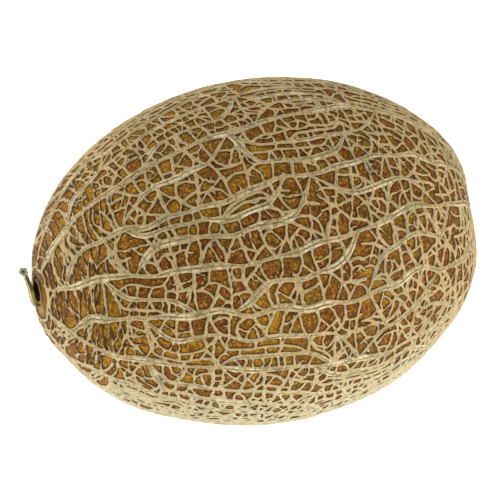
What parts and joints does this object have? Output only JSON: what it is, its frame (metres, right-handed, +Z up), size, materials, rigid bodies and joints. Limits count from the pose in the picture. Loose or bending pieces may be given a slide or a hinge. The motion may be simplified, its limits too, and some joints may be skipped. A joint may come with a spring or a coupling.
{
  "type": "whole netted muskmelon",
  "caption": "Whole ripe muskmelon lying on its side, a long rounded fruit with a raised corky net over a tan rind, a round scar at the stem end and a short dried stalk.",
  "frame": {"origin": "on the ground, below the middle of the whole fruit with its stalk", "axes": "+X from the stem end to the blossom end, +Z up, and -Y towards the side that the picture shows"},
  "size_m": [0.2094, 0.151, 0.1484],
  "materials": {
    "rind": "matt corky net on a satin skin",
    "stalk": "dry and matt"
  },
  "bodies": {
    "root": {"melon": "rind", "stalk": "stalk"}
  },
  "joints": []
}
